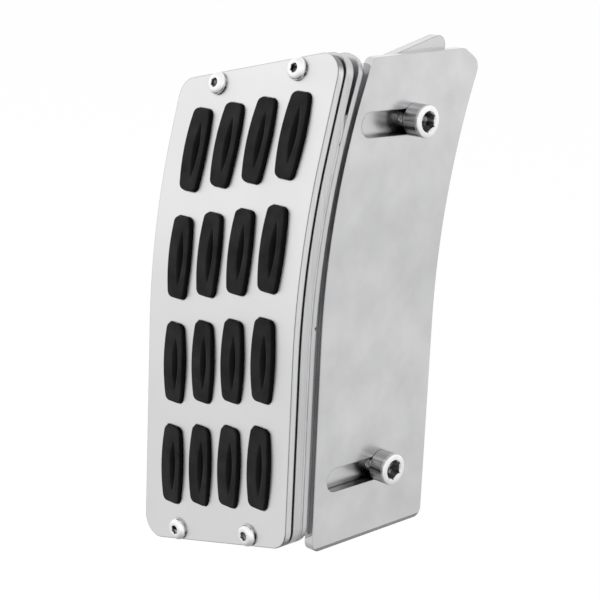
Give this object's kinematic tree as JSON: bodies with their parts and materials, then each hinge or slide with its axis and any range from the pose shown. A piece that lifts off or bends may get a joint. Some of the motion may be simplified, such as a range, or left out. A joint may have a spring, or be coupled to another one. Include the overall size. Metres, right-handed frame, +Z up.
{
  "type": "brake pedal extension",
  "caption": "Bent metal foot tread with staggered rubber lugs, clamped by bolts to a slotted side plate that is fixed to a brake pedal and lets the tread slide forward.",
  "frame": {"origin": "centre of the fixing strip on the slotted plate's inner side, level with the start of the tread's bend", "axes": "+X out of the slotted plate's outer side, +Y to the rear along the slots, +Z up the tread"},
  "size_m": [0.0715, 0.0771, 0.1647],
  "materials": {
    "tread_steel": "satin polish",
    "plate_steel": "polished, with ground edges",
    "clamp_steel": "polished",
    "weld_steel": "dressed weld",
    "rubber": "matte moulded",
    "bright_plating": "bright"
  },
  "bodies": {
    "fixing": {"slotted_plate": "clamp_steel"},
    "tread": {"tread_plate": "tread_steel", "rubber_mat": "rubber", "backing_plate": "plate_steel", "bracket_plate": "plate_steel", "side_flange": "plate_steel", "edge_weld_right": "weld_steel", "edge_weld_left": "weld_steel", "flange_weld": "weld_steel", "tread_screw_upper_left": "bright_plating", "tread_screw_upper_right": "bright_plating", "tread_screw_lower_left": "bright_plating", "tread_screw_lower_right": "bright_plating", "clamp_bolt_upper": "bright_plating", "clamp_bolt_lower": "bright_plating", "clamp_nut_upper": "bright_plating", "clamp_nut_lower": "bright_plating"}
  },
  "joints": [
    {"name": "reach_slide", "type": "slide", "parent": "fixing", "child": "tread", "axis": [0, -1, 0], "range_m": [0, 0.019]}
  ]
}
